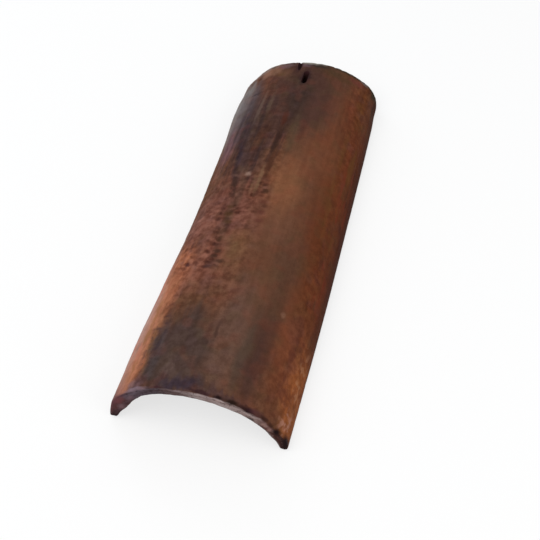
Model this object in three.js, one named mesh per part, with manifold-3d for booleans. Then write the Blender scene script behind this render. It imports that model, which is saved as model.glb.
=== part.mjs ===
// Tapered barrel roof tile of fired clay.
//
// The tile lies arch up on its two long edges.
// X runs across it, Y runs along it from the wide end to the narrow head, and Z is up.
// It is shaped the way the real one is: a flat bat of clay with rounded arrises is bent
// over a tapered former. The nail slot and the gouge beside it are then cut.
// Lengths are in millimetres and angles in degrees.

import * as THREE from "three";
import { mergeVertices } from "three/addons/utils/BufferGeometryUtils.js";
import Module from "manifold-3d";

// The arch at each end: a half ellipse over the outer face.
const LENGTH = 450;
const WIDE_WIDTH = 176;
const WIDE_RISE = 76;
const HEAD_WIDTH = 153;
const HEAD_RISE = 61;
const WALL = 13.5;

// What cutting, drying and firing did: the ends are out of square, the head's crown
// stands forward of its feet, and the whole tile bows a little to the side.
const WIDE_SKEW = 1;
const HEAD_SKEW = 5;
const HEAD_CROWN_LEAD = 1;
const SIDE_BOW = 2;

// The left flank is not true either: it swells near both ends and lies back between them.
const HEAD_SWELL = 3.8;
const HEAD_SWELL_TO_HEAD = 46;
const WIDE_SWELL = 2.6;
const WIDE_SWELL_TO_END = 55;
const WAIST = 1.3;
const WAIST_TO_END = 222;
const SWELL_REACH = 85;
const FLANK_TO_FOOT = 26;
const FLANK_REACH = 35;

// The long edges are drawn out thinner, and at the wide end each foot runs out in a toe.
const FOOT_WALL = 8;
const FOOT_TAPER = 24;
const TOE = 2;
const TOE_WIDTH = 18;
const TOE_LENGTH = 40;

// The rounded corners of the bat, and the arrises round its outer and inner faces.
const WIDE_CORNER = 4;
const HEAD_CORNER = 17;
const OUTER_ARRIS = 2;
const INNER_ARRIS = 4;

// Nail slot right through the crown, its length along the tile. It was pushed through
// aslant, so its inner mouth is smaller and lies nearer to the wide end.
const SLOT_WIDTH = 6;
const SLOT_LENGTH = 20;
const SLOT_TO_HEAD = 25;
const SLOT_INNER_WIDTH = 5.5;
const SLOT_INNER_LENGTH = 10;
const SLOT_SLANT = 5.5;

// Round-bottomed gouge in the outer face, from the head's rim towards the slot.
const GOUGE_WIDTH = 5;
const GOUGE_LENGTH = 14;
const GOUGE_DEPTH = 3;
const GOUGE_TO_HEAD = 7.5;
const GOUGE_ACROSS = -10;
const GOUGE_TURN = -4;

// Fineness of the facets.
const GIRTH_STEPS = 40;
const LENGTH_STEPS = 20;
const CORNER_STEPS = 6;
const ARRIS_STEPS = 3;
const CUT_STEPS = 8;
const MERGE_WITHIN = 1e-4;

const CLAY = { color: 0x7a5140, roughness: 0.85, metalness: 0 };

const { degToRad, lerp } = THREE.MathUtils;
const QUARTER = Math.PI / 2;

// Half of the outer girth at mid-length, which is half of the bat's width.
const HALF_GIRTH = new THREE.EllipseCurve(
  0,
  0,
  lerp(WIDE_WIDTH, HEAD_WIDTH, 0.5) / 2,
  lerp(WIDE_RISE, HEAD_RISE, 0.5),
  0,
  QUARTER,
).getLength();

// How far a place lies inside a margin along an edge: 0 at its limit and 1 at the edge.
function within(fromEdge, margin) {
  return THREE.MathUtils.smoothstep(1 - fromEdge / margin, 0, 1);
}

// How far the left flank stands out from the former there.
function swell(girth, along) {
  const flank = within(Math.abs(girth + HALF_GIRTH - FLANK_TO_FOOT), FLANK_REACH);
  const head = within(Math.abs(LENGTH - along - HEAD_SWELL_TO_HEAD), SWELL_REACH);
  const wide = within(Math.abs(along - WIDE_SWELL_TO_END), SWELL_REACH);
  const waist = within(Math.abs(along - WAIST_TO_END), SWELL_REACH);
  return flank * (HEAD_SWELL * head + WIDE_SWELL * wide - WAIST * waist);
}

// Bends a point of the bat over the former.
// girth runs from -HALF_GIRTH to HALF_GIRTH, depth from 0 on the outer face to WALL, and
// along from 0 at the wide end to LENGTH at the head.
function bend(girth, depth, along) {
  const share = along / LENGTH;
  const angle = QUARTER * (girth / HALF_GIRTH);
  const fromFoot = HALF_GIRTH - Math.abs(girth);
  const inside = depth * lerp(1, FOOT_WALL / WALL, within(fromFoot, FOOT_TAPER));
  const offset = swell(girth, along) - inside;
  const across = lerp(WIDE_WIDTH, HEAD_WIDTH, share) / 2 + offset;
  const up = lerp(WIDE_RISE, HEAD_RISE, share) + offset;
  const x = across * Math.sin(angle);
  const skew = lerp(Math.tan(degToRad(WIDE_SKEW)), Math.tan(degToRad(HEAD_SKEW)), share);
  const crownLead = HEAD_CROWN_LEAD * share * Math.cos(angle);
  const toe = TOE * within(fromFoot, TOE_WIDTH) * within(along, TOE_LENGTH);
  const bow = SIDE_BOW * 4 * share * (1 - share);
  const y = along - toe + x * skew + crownLead;
  return new THREE.Vector3(x + bow, y, up * Math.cos(angle));
}

// Half of the bat's width at a distance from its nearer end, inside its rounded corner.
// drawnIn is how far inside the outline the point lies.
function halfWidthAt(fromEnd, corner, drawnIn) {
  const radius = corner - drawnIn;
  const beforeStraight = Math.max(corner - fromEnd, 0);
  const fall = radius - Math.sqrt(Math.max(radius ** 2 - beforeStraight ** 2, 0));
  return HALF_GIRTH - drawnIn - fall;
}

// The quarter round of one arris where the bat is cut at a distance from its nearer end,
// as [girth, depth] points from the side to the face. Nearer to the end than the arris is
// deep, the cut meets the face lower on the round.
function arrisPoints(fromEnd, corner, arris) {
  const points = [];
  const lastTurn = Math.acos(1 - Math.min(fromEnd / arris, 1));
  for (let i = 0; i <= ARRIS_STEPS; i++) {
    const turn = lastTurn * (i / ARRIS_STEPS);
    const drawnIn = arris * (1 - Math.cos(turn));
    points.push([halfWidthAt(fromEnd, corner, drawnIn), arris * (1 - Math.sin(turn))]);
  }
  return points;
}

// One face of the cut from foot to foot, with its two arrises, as [girth, depth] points.
function facePoints(fromEnd, corner, arris) {
  const right = arrisPoints(fromEnd, corner, arris);
  const left = right.map(([girth, depth]) => [-girth, depth]);
  const [edge, depth] = right.at(-1);
  const between = [];
  for (let i = 1; i < GIRTH_STEPS; i++) {
    between.push([lerp(-edge, edge, i / GIRTH_STEPS), depth]);
  }
  return [...left, ...between, ...right.reverse()];
}

// The closed section of the bent bat at a distance along it: over the outer face, then
// back over the inner one.
function section(along) {
  const fromHead = LENGTH - along;
  const fromEnd = Math.min(along, fromHead);
  const corner = along < fromHead ? WIDE_CORNER : HEAD_CORNER;
  const outer = facePoints(fromEnd, corner, OUTER_ARRIS);
  const inner = facePoints(fromEnd, corner, INNER_ARRIS).reverse();
  return [
    ...outer.map(([girth, depth]) => bend(girth, depth, along)),
    ...inner.map(([girth, depth]) => bend(girth, WALL - depth, along)),
  ];
}

// Where the sections stand: close together round the corners, even between them.
function stations() {
  const rounding = [];
  for (let i = 0; i < CORNER_STEPS; i++) {
    rounding.push(1 - Math.cos(QUARTER * (i / CORNER_STEPS)));
  }
  const first = rounding.map((fall) => WIDE_CORNER * fall);
  const last = rounding.map((fall) => LENGTH - HEAD_CORNER * fall).reverse();
  const middle = [];
  for (let i = 0; i <= LENGTH_STEPS; i++) {
    middle.push(lerp(WIDE_CORNER, LENGTH - HEAD_CORNER, i / LENGTH_STEPS));
  }
  return [...first, ...middle, ...last];
}

// Skins a list of closed sections and caps the first and the last.
// Points that coincide are merged, and the triangles that collapse with them are left out.
function loft(sections) {
  const size = sections[0].length;
  const corners = [];
  const index = (ring, place) => ring * size + (place % size);
  for (let ring = 0; ring < sections.length - 1; ring++) {
    for (let place = 0; place < size; place++) {
      const [a, b] = [index(ring, place), index(ring, place + 1)];
      const [c, d] = [index(ring + 1, place + 1), index(ring + 1, place)];
      corners.push(a, b, c, a, c, d);
    }
  }
  const lastRing = sections.length - 1;
  for (let place = 0; place < size / 2 - 1; place++) {
    const facing = size - 1 - place;
    const cap = [place, facing - 1, place + 1, place, facing, facing - 1];
    corners.push(...cap.map((corner) => index(0, corner)));
    corners.push(...cap.reverse().map((corner) => index(lastRing, corner)));
  }
  const geometry = new THREE.BufferGeometry().setFromPoints(sections.flat());
  geometry.setIndex(corners);
  return withoutCollapsed(mergeVertices(geometry, MERGE_WITHIN));
}

function withoutCollapsed(geometry) {
  const kept = [];
  const { array } = geometry.index;
  for (let i = 0; i < array.length; i += 3) {
    const [a, b, c] = array.slice(i, i + 3);
    if (a !== b && b !== c && c !== a) {
      kept.push(a, b, c);
    }
  }
  geometry.setIndex(kept);
  return geometry;
}

// The nail slot's cutter: round-ended outlines skinned from above the outer face to below
// the inner one.
function slotCutter() {
  const outer = slotOutline(SLOT_WIDTH, SLOT_LENGTH);
  const inner = slotOutline(SLOT_INNER_WIDTH, SLOT_INNER_LENGTH);
  const outlineAt = (share) =>
    outer.map((point, i) => {
      const slanted = inner[i].clone();
      slanted.y -= SLOT_SLANT;
      return point.clone().lerp(slanted, share);
    });
  const levels = [
    [WALL, 0],
    [0, 0],
    [-WALL, 1],
    [-2 * WALL, 1],
  ];
  const rings = levels.map(([height, share]) =>
    outlineAt(share).map((point) => new THREE.Vector3(point.x, point.y, height)),
  );
  return onOuterFace(loft(rings), 0, LENGTH - SLOT_TO_HEAD);
}

// A round-ended outline along Y, clockwise.
function slotOutline(width, length) {
  const radius = width / 2;
  const straight = length / 2 - radius;
  const outline = new THREE.Path();
  outline.absarc(0, straight, radius, Math.PI, 0, true);
  outline.absarc(0, -straight, radius, 0, Math.PI, true);
  return outline.getPoints(CUT_STEPS);
}

// The gouge's cutter: a capsule that lies along the tile, sunk to the gouge's depth.
function gougeCutter() {
  const radius = GOUGE_WIDTH / 2;
  const straight = GOUGE_LENGTH - GOUGE_WIDTH;
  const geometry = new THREE.CapsuleGeometry(radius, straight, CUT_STEPS / 2, 2 * CUT_STEPS);
  geometry.rotateZ(degToRad(-GOUGE_TURN));
  geometry.translate(0, 0, radius - GOUGE_DEPTH);
  return onOuterFace(geometry, GOUGE_ACROSS, LENGTH - GOUGE_TO_HEAD);
}

// Stands a cutter on the outer face, a distance across from the crown and along the tile.
function onOuterFace(geometry, across, along) {
  const halfWidth = lerp(WIDE_WIDTH, HEAD_WIDTH, along / LENGTH) / 2;
  const girth = HALF_GIRTH * (Math.asin(across / halfWidth) / QUARTER);
  return geometry.translate(...bend(girth, 0, along).toArray());
}

// Merges a geometry's shared vertices so that it can be cut as a solid.
function positionsOnly(geometry) {
  geometry.deleteAttribute("normal");
  geometry.deleteAttribute("uv");
  return mergeVertices(geometry, MERGE_WITHIN);
}

const wasm = await Module();
wasm.setup();

function solidOf(geometry) {
  return new wasm.Manifold(
    new wasm.Mesh({
      numProp: 3,
      vertProperties: geometry.attributes.position.array,
      triVerts: new Uint32Array(geometry.index.array),
    }),
  );
}

function geometryOf(solid) {
  const { vertProperties, triVerts } = solid.getMesh();
  const geometry = new THREE.BufferGeometry();
  geometry.setAttribute("position", new THREE.BufferAttribute(vertProperties, 3));
  geometry.setIndex(new THREE.BufferAttribute(triVerts, 1));
  geometry.computeVertexNormals();
  return geometry;
}

function barrelTile() {
  const bat = loft(stations().map(section));
  const solid = solidOf(bat)
    .subtract(solidOf(positionsOnly(slotCutter())))
    .subtract(solidOf(positionsOnly(gougeCutter())));
  const geometry = geometryOf(solid);

  // The origin is on the floor at the middle of the tile's box.
  geometry.computeBoundingBox();
  const middle = geometry.boundingBox.getCenter(new THREE.Vector3());
  geometry.translate(-middle.x, -middle.y, -geometry.boundingBox.min.z);

  const tile = new THREE.Mesh(geometry, new THREE.MeshStandardMaterial(CLAY));
  tile.name = "barrel_tile";
  return tile;
}

const roofTile = new THREE.Group();
roofTile.add(barrelTile());

export default roofTile;
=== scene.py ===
"""Tapered barrel roof tile of fired clay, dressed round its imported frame.

Constants are in millimetres and degrees unless their names say otherwise, and meshes are
made in metres. A place on the tile is given as on the flat bat that it was bent from:
girth runs from the left foot (negative) over the crown to the right foot, depth from the
outer face inwards, and along from the wide end to the head.
"""

import math

import bpy
import numpy as np
from mathutils import Matrix, Vector


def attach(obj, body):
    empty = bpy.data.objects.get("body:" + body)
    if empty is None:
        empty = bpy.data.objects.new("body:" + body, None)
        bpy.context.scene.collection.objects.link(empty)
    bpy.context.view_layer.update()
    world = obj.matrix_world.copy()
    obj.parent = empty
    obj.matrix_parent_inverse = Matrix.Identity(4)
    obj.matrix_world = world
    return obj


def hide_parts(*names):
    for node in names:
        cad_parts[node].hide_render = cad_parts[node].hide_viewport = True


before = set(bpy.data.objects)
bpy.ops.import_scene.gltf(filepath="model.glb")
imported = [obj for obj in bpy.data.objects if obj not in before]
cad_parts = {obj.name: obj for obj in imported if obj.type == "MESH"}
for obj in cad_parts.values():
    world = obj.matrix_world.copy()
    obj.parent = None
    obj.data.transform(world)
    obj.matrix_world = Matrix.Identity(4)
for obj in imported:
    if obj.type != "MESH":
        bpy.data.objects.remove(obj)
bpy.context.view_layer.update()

MM = 0.001
QUARTER = math.pi / 2

# The tile, as in its solid.
LENGTH = 450
WIDE_WIDTH = 176
WIDE_RISE = 76
HEAD_WIDTH = 153
HEAD_RISE = 61
WALL = 13.5
WIDE_SKEW = 1
HEAD_SKEW = 5
HEAD_CROWN_LEAD = 1
SIDE_BOW = 2
HEAD_SWELL = 3.8
HEAD_SWELL_TO_HEAD = 46
WIDE_SWELL = 2.6
WIDE_SWELL_TO_END = 55
WAIST = 1.3
WAIST_TO_END = 222
SWELL_REACH = 85
FLANK_TO_FOOT = 26
FLANK_REACH = 35
FOOT_WALL = 8
FOOT_TAPER = 24
TOE = 2
TOE_WIDTH = 18
TOE_LENGTH = 40
WIDE_CORNER = 4
HEAD_CORNER = 17
OUTER_ARRIS = 2
INNER_ARRIS = 4
SLOT_WIDTH = 6
SLOT_LENGTH = 20
SLOT_TO_HEAD = 25
SLOT_INNER_WIDTH = 5.5
SLOT_INNER_LENGTH = 10
SLOT_SLANT = 5.5
GOUGE_WIDTH = 5
GOUGE_LENGTH = 14
GOUGE_DEPTH = 3
GOUGE_TO_HEAD = 7.5
GOUGE_ACROSS = -10
GOUGE_TURN = -4

# Fineness of the mesh. Rows lie closer together near both ends.
COLUMNS = 166
ROWS = 222
END_CROWDING = 0.55
ARRIS_STEPS = 4
CUT_FACE_STEPS = 6
LEAST_CORNER = 0.5
SMOOTH_ANGLE = 40

# The photograph's camera: what it looks at, where it stands, and its lens.
AIM = (23.12, -44.04, 25)
AZIMUTH = 20.29
ELEVATION = 53.10
ROLL = -6.31
DISTANCE = 1120.55
LENS = 73.33
SENSOR = 36


def half_girth():
    """Half of the outer girth at mid-length: a quarter of an ellipse, by its chords."""
    turn = np.linspace(0, QUARTER, 2001)
    x = (WIDE_WIDTH + HEAD_WIDTH) / 4 * np.sin(turn)
    z = (WIDE_RISE + HEAD_RISE) / 2 * np.cos(turn)
    return float(np.hypot(np.diff(x), np.diff(z)).sum())


HALF_GIRTH = half_girth()


def lerp(a, b, share):
    return a + (b - a) * share


def tangent(angle):
    return math.tan(math.radians(angle))


def rise(x, low, high):
    """Smooth step from 0 at low to 1 at high."""
    t = np.clip((x - low) / (high - low), 0, 1)
    return t * t * (3 - 2 * t)


def within(distance, margin):
    """Smooth step down from 1 at no distance to 0 at the margin."""
    return 1 - rise(distance, 0, margin)


def swell(girth, along):
    """How far the left flank stands out from the former."""
    flank = within(np.abs(girth + HALF_GIRTH - FLANK_TO_FOOT), FLANK_REACH)
    head = within(np.abs(LENGTH - along - HEAD_SWELL_TO_HEAD), SWELL_REACH)
    wide = within(np.abs(along - WIDE_SWELL_TO_END), SWELL_REACH)
    waist = within(np.abs(along - WAIST_TO_END), SWELL_REACH)
    return flank * (HEAD_SWELL * head + WIDE_SWELL * wide - WAIST * waist)


def bend(girth, depth, along):
    """Bends points of the bat over the tapered former, as the solid does."""
    share = along / LENGTH
    angle = QUARTER * girth / HALF_GIRTH
    from_foot = HALF_GIRTH - np.abs(girth)
    inside = depth * lerp(1, FOOT_WALL / WALL, within(from_foot, FOOT_TAPER))
    offset = swell(girth, along) - inside
    across = lerp(WIDE_WIDTH, HEAD_WIDTH, share) / 2 + offset
    up = lerp(WIDE_RISE, HEAD_RISE, share) + offset
    x = across * np.sin(angle)
    skew = lerp(tangent(WIDE_SKEW), tangent(HEAD_SKEW), share)
    crown_lead = HEAD_CROWN_LEAD * share * np.cos(angle)
    toe = TOE * within(from_foot, TOE_WIDTH) * within(along, TOE_LENGTH)
    bow = SIDE_BOW * 4 * share * (1 - share)
    y = along - toe + x * skew + crown_lead
    return np.stack([x + bow, y, up * np.cos(angle)], axis=-1)


# -------------------- relief of the clay

# Features before the noise repeats.
LATTICE = 128


def noise(x, y, seed):
    """Smooth noise from -1 to 1, with one feature for each unit of x and y."""
    lattice = np.random.default_rng(seed).uniform(-1, 1, (LATTICE, LATTICE))
    column, row = np.floor(x).astype(int), np.floor(y).astype(int)
    u, v = x - column, y - row
    u, v = u * u * (3 - 2 * u), v * v * (3 - 2 * v)

    def knot(across, up):
        return lattice[(column + across) % LATTICE, (row + up) % LATTICE]

    return lerp(lerp(knot(0, 0), knot(1, 0), u), lerp(knot(0, 1), knot(1, 1), u), v)


def waves(x, y, height, size, seed):
    """Noise from 0 to twice height, with features of size."""
    return height + height * noise(x / size[0], y / size[1], seed)


def near(distance, reach):
    """1 at no distance, fading out over about twice the reach."""
    return np.exp(-((distance / reach) ** 2))


def mound(girth, along, place, size):
    """Smooth bump of height 1 at place, with a half width of size in girth and along."""
    return within(np.hypot((girth - place[0]) / size[0], (along - place[1]) / size[1]), 1)


def mounds(girth, along, table):
    return sum(height * mound(girth, along, place, size) for height, place, size in table)


# How far the outer face stands proud of the plain one, before hollows: away from the wide end,
# and more so along the head's rim.
PROUD = 1
HEAD_FLARE = 1

# Mean depth of each kind of hollow in the outer face, and the greatest depth of a pit.
SWAY = 0.5
HAND = 0.3
ROUGH = 0.12
RIPPLE = 0.4
DRAG = 0.22
PIT = 0.7

# Where the outer face lies slack, or below 0 full: how far, centre as girth and along, half sizes.
SLACK = (
    (0.8, (-98, 36), (50, 62)),
    (-0.7, (-90, 150), (44, 100)),
    (0.6, (-98, 268), (44, 50)),
    (0.7, (-98, 364), (50, 34)),
    (-0.75, (99, 10), (22, 44)),
    (0.7, (108, 262), (40, 110)),
    (1.5, (110, 434), (26, 26)),
    (-1.0, (82, 446), (24, 26)),
)


def outer_relief(girth, along):
    """How far the outer face lies inside the plain one."""
    sway = waves(girth, along, SWAY, (60, 85), 1)
    hand = waves(girth, along, HAND, (22, 26), 2)
    rough = waves(girth, along, ROUGH, (7, 6), 3)
    rippled = mound(girth, along, (-42, 200), (75, 120)) + 0.15
    ripple = RIPPLE * rippled * (1 + noise(girth / 13 + 9, along / 5, 4))
    dragged = rise(along, 230, 330) + 0.1
    drag = DRAG * dragged * (1 + noise(girth / 2.6, along / 70, 5))
    pit = PIT * rise(noise(girth / 4.2, along / 4.2, 6), 0.55, 0.95)
    sunk = sway + hand + rough + ripple + drag + pit
    pressed = lerp(0.35, 1, rise(HALF_GIRTH - np.abs(girth), 0, 25))
    proud = PROUD * rise(along, 20, 160) + HEAD_FLARE * rise(along, 430, 447)
    return sunk * pressed + mounds(girth, along, SLACK) - proud


# How much thicker than the wall the wide end's lip is.
LIP = 1.3

# Lumps on the inner face by the left foot: height, centre as girth and along, half sizes.
LUMPS = (
    (3, (-83, 6), (16, 26)),
    (2, (-68, 4), (18, 24)),
    (2.2, (-98, 4), (22, 24)),
)


def inner_relief(girth, along):
    """How far the inner face lies inside the clay."""
    sway = 0.6 * noise(girth / 50, along / 70, 11)
    sanded = 0.25 * noise(girth / 9, along / 9, 12) + 0.2 * noise(girth / 3.2, along / 3.2, 13)
    lip = LIP * mound(girth, along, (45, 0), (75, 22))
    return sway + sanded - mounds(girth, along, LUMPS) - lip


def rim_relief(around, depth, seed):
    """How far a cut edge lies back from the plain one."""
    wave = waves(around, depth, 0.25, (34, 30), seed)
    torn = waves(around, depth, 0.2, (6, 5), seed + 1)
    grain = waves(around, depth, 0.1, (2.4, 2.4), seed + 2)
    return wave + torn + grain


# How far in from an edge its wear reaches, and how far down the edge a chip does.
WEAR_REACH = 5
CHIP_REACH = 3.2

# How far the head's left corner sags back and down.
HEAD_SAG = 5
HEAD_DROOP = 2.2

# Chips out of the wide end's outer edge: girth, half width and depth. They sink less than they
# cut back, by this share.
CHIP_SINK = 0.8
CHIPS = (
    (23.5, 5, 1.6),
    (35, 5.5, 1.5),
    (67, 6, 1.8),
    (86, 8, 1.6),
    (8, 4, 0.8),
    (-30, 6, 0.9),
    (-52, 5, 1.0),
)


def worn(girth, depth, along):
    """Moves points of the plain bat to where moulding, firing and knocks left them."""
    inwards = depth / WALL
    sunk = outer_relief(girth, along) * (1 - inwards) - inner_relief(girth, along) * inwards
    at_wide = near(along, WEAR_REACH)
    at_head = near(LENGTH - along, WEAR_REACH)
    at_foot = near(HALF_GIRTH - np.abs(girth), WEAR_REACH)
    forward = rim_relief(girth, depth, 21) * at_wide - rim_relief(girth, depth, 31) * at_head
    left_corner = mound(girth, along, (-84, LENGTH), (42, 44))
    forward = forward - HEAD_SAG * left_corner
    sunk = sunk + HEAD_DROOP * left_corner
    drawn = rim_relief(along, depth, 41) * at_foot * np.sign(girth)
    for place, reach, bite in CHIPS:
        beside = 1 - rise(np.abs(girth - place) / reach, 0.2, 1)
        bitten = bite * (beside * near(along + depth, CHIP_REACH))
        forward = forward + bitten
        sunk = sunk + CHIP_SINK * bitten
    return girth - drawn, depth + sunk, along + forward


# -------------------- the tile's mesh

WIDE, HEAD = 0, 1
LEFT, RIGHT = -1, 1


def corner_centre(side, end, inset):
    """Centre and radius of a rounded corner of the bat's outline, drawn in by inset."""
    corner = WIDE_CORNER if end == WIDE else HEAD_CORNER
    radius = max(corner - inset, LEAST_CORNER)
    from_end = inset + radius
    along = from_end if end == WIDE else LENGTH - from_end
    return np.array([side * (HALF_GIRTH - from_end), along]), radius


def outline_side(first, last, turns, shares, inset):
    """Points on one side of the outline, from the middle of one corner to the next one's.

    first and last are the corners, turns the outward normals' angles at the start, on the
    straight and at the end, and shares how far round each point is.
    """
    centres, radii = zip(corner_centre(*first, 0), corner_centre(*last, 0))
    lengths = [radius * math.pi / 4 for radius in radii]
    straight = float(np.abs(centres[1] - centres[0]).max())
    reached = shares * (lengths[0] + straight + lengths[1])
    share = np.clip((reached - lengths[0]) / straight, 0, 1)
    bounds = [0, lengths[0], lengths[0] + straight, sum(lengths) + straight]
    angle = np.radians(np.interp(reached, bounds, [turns[0], turns[1], turns[1], turns[2]]))
    normal = np.stack([np.cos(angle), np.sin(angle)], axis=-1)
    centres, radii = zip(corner_centre(*first, inset), corner_centre(*last, inset))
    return lerp(*centres, share[:, None]) + normal * lerp(*radii, share)[:, None]


def crowded_shares(count, crowding):
    """Shares from 0 to 1 that lie closer together near both ends."""
    even = np.linspace(0, 1, count + 1)
    return even - crowding * np.sin(2 * math.pi * even) / (2 * math.pi)


COLUMN_SHARES = crowded_shares(COLUMNS, 0)
ROW_SHARES = crowded_shares(ROWS, END_CROWDING)


def outline_sides(inset):
    """Points along the wide end, the head, the left side and the right side."""
    wide = outline_side((LEFT, WIDE), (RIGHT, WIDE), (225, 270, 315), COLUMN_SHARES, inset)
    head = outline_side((LEFT, HEAD), (RIGHT, HEAD), (135, 90, 45), COLUMN_SHARES, inset)
    left = outline_side((LEFT, WIDE), (LEFT, HEAD), (225, 180, 135), ROW_SHARES, inset)
    right = outline_side((RIGHT, WIDE), (RIGHT, HEAD), (-45, 0, 45), ROW_SHARES, inset)
    return wide, head, left, right


def outline_loop(inset):
    """The whole outline once round, anticlockwise from its left wide corner."""
    wide, head, left, right = outline_sides(inset)
    return np.concatenate([wide[:-1], right[:-1], head[:0:-1], left[:0:-1]])


def face_grid(inset):
    """Points over a face whose outline is drawn in by inset, as rows from wide to head."""
    wide, head, left, right = outline_sides(inset)
    s = COLUMN_SHARES[None, :, None]
    t = ROW_SHARES[:, None, None]
    between_ends = lerp(wide[None], head[None], t)
    between_sides = lerp(left[:, None], right[:, None], s)
    corners = lerp(lerp(wide[0], wide[-1], s), lerp(head[0], head[-1], s), t)
    return between_ends + between_sides - corners


def rim_rings():
    """The inset and depth of each ring round the rim, from outer face to inner."""
    turns = [QUARTER * step / ARRIS_STEPS for step in range(1, ARRIS_STEPS + 1)]
    flat = WALL - OUTER_ARRIS - INNER_ARRIS
    rings = [(OUTER_ARRIS * (1 - math.sin(turn)), OUTER_ARRIS * (1 - math.cos(turn)))
             for turn in turns]
    rings += [(0, OUTER_ARRIS + flat * step / CUT_FACE_STEPS)
              for step in range(1, CUT_FACE_STEPS + 1)]
    rings += [(INNER_ARRIS * (1 - math.cos(turn)), WALL - INNER_ARRIS * (1 - math.sin(turn)))
              for turn in turns[:-1]]
    return rings


# Indices of a face's grid, its rows from the wide end to the head.
GRID = np.arange((COLUMNS + 1) * (ROWS + 1)).reshape(ROWS + 1, COLUMNS + 1)


def grid_loop():
    """Indices of a grid's boundary, in the order of outline_loop."""
    return np.concatenate([GRID[0, :-1], GRID[:-1, -1], GRID[-1, :0:-1], GRID[:0:-1, 0]])


def grid_quads():
    """Quads of a grid on the outer face. Turned over, they suit the inner one."""
    quads = [GRID[:-1, :-1], GRID[:-1, 1:], GRID[1:, 1:], GRID[1:, :-1]]
    return np.stack([q.ravel() for q in quads], axis=-1)


def strip_quads(upper, lower):
    """Quads between two closed rings, the lower one further from the outer face."""
    return np.stack([lower, np.roll(lower, -1), np.roll(upper, -1), upper], axis=-1)


def shell():
    """Points of the plain bat as girth, depth and along, and the quads between them."""
    outer = face_grid(OUTER_ARRIS).reshape(-1, 2)
    inner = face_grid(INNER_ARRIS).reshape(-1, 2)
    layers = [(outer, 0)]
    layers += [(outline_loop(inset), depth) for inset, depth in rim_rings()]
    layers += [(inner, WALL)]
    starts = np.cumsum([0] + [len(points) for points, _ in layers])
    girth = np.concatenate([points[:, 0] for points, _ in layers])
    along = np.concatenate([points[:, 1] for points, _ in layers])
    depth = np.concatenate([np.full(len(points), float(d)) for points, d in layers])
    loop = grid_loop()
    rings = [loop]
    rings += [np.arange(a, b) for a, b in zip(starts[1:-2], starts[2:-1])]
    rings += [loop + starts[-2]]
    quads = [grid_quads(), grid_quads()[:, ::-1] + starts[-2]]
    quads += [strip_quads(upper, lower) for upper, lower in zip(rings, rings[1:])]
    return (girth, depth, along), np.concatenate(quads)


def scene_object(name, data):
    made = bpy.data.objects.new(name, data)
    bpy.context.scene.collection.objects.link(made)
    return made


def mesh_object(name, points, faces, bat):
    """Mesh whose corners carry their place on the plain bat, as the attribute bat."""
    mesh = bpy.data.meshes.new(name)
    mesh.from_pydata(points.tolist(), [], [list(face) for face in faces])
    mesh.validate()
    corner = np.empty(len(mesh.loops), dtype=int)
    mesh.loops.foreach_get("vertex_index", corner)
    mesh.attributes.new("bat", "FLOAT_VECTOR", "CORNER")
    mesh.attributes["bat"].data.foreach_set("vector", bat[corner].astype(np.float32).ravel())
    return scene_object(name, mesh)


def to_frame(points, middle):
    """Tile points in millimetres to metres, with the origin below the box's middle."""
    return (points - np.array([middle[0], middle[1], 0])) * MM


def on_outer_face(across, along):
    """The point of the plain outer face at a distance from the crown and from the wide end."""
    half_width = lerp(WIDE_WIDTH, HEAD_WIDTH, along / LENGTH) / 2
    girth = HALF_GIRTH * math.asin(across / half_width) / QUARTER
    return bend(girth, 0.0, float(along))


def stadium(width, length, steps):
    """Outline of a round-ended slot along Y, anticlockwise."""
    radius = width / 2
    straight = length / 2 - radius
    turn = np.linspace(0, math.pi, steps + 1)
    cap = np.stack([radius * np.cos(turn), radius * np.sin(turn) + straight], axis=-1)
    return np.concatenate([cap, -cap])


# The depth that the walls of both cuts carry, so that they take their dark colour: soot, and
# painted shade further in.
HOLLOW = 30


def tube_cutter(name, rings, middle):
    """Closed tube through rings of points, anticlockwise as seen from outside the first."""
    count = len(rings[0])
    faces = []
    for start in range(0, (len(rings) - 1) * count, count):
        for i in range(start, start + count):
            j = start + (i + 1 - start) % count
            faces.append([i + count, j + count, j, i])
    faces.append(list(range(count)))
    faces.append([(len(rings) - 1) * count + i for i in reversed(range(count))])
    points = np.concatenate(rings)
    bat = np.tile([0.0, LENGTH, HOLLOW], (len(points), 1))
    return mesh_object(name, to_frame(points, middle), faces, bat)


# The slot's cutter as it goes through the clay: height over the outer face, how far it has
# come towards the inner mouth's outline, and how much wider its torn edge is there.
SLOT_LEVELS = (
    (6, 0, 1.2),
    (1, 0, 0.7),
    (-0.8, 0.05, 0.1),
    (-6, 0.45, 0),
    (-12, 0.9, 0.1),
    (-14, 1, 0.8),
    (-22, 1, 1.6),
)
SLOT_STEPS = 14


def slot_cutter(middle):
    """Round-ended funnel aslant through the crown, its mouths torn a little wider."""
    outer = stadium(SLOT_WIDTH, SLOT_LENGTH, SLOT_STEPS)
    inner = stadium(SLOT_INNER_WIDTH, SLOT_INNER_LENGTH, SLOT_STEPS) - np.array([0, SLOT_SLANT])
    outward = outer / np.linalg.norm(outer, axis=1)[:, None]
    count = len(outer)
    turn = np.linspace(0, 2 * math.pi, count, endpoint=False)
    centre = on_outer_face(0, LENGTH - SLOT_TO_HEAD)
    rings = []
    for height, share, torn in SLOT_LEVELS:
        uneven = 1 + 0.5 * noise(2.2 * np.cos(turn) + 7, 2.2 * np.sin(turn) + height / 6, 51)
        ring = lerp(outer, inner, share) + outward * (torn * uneven)[:, None]
        rings.append(np.column_stack([ring, np.full(count, float(height))]) + centre)
    return tube_cutter("slot_cutter", rings, middle)


# How much longer than its plain form the gouge is torn, all of it towards the head.
GOUGE_TEAR = 1
GOUGE_RINGS = 16
GOUGE_SIDES = 18


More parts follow.
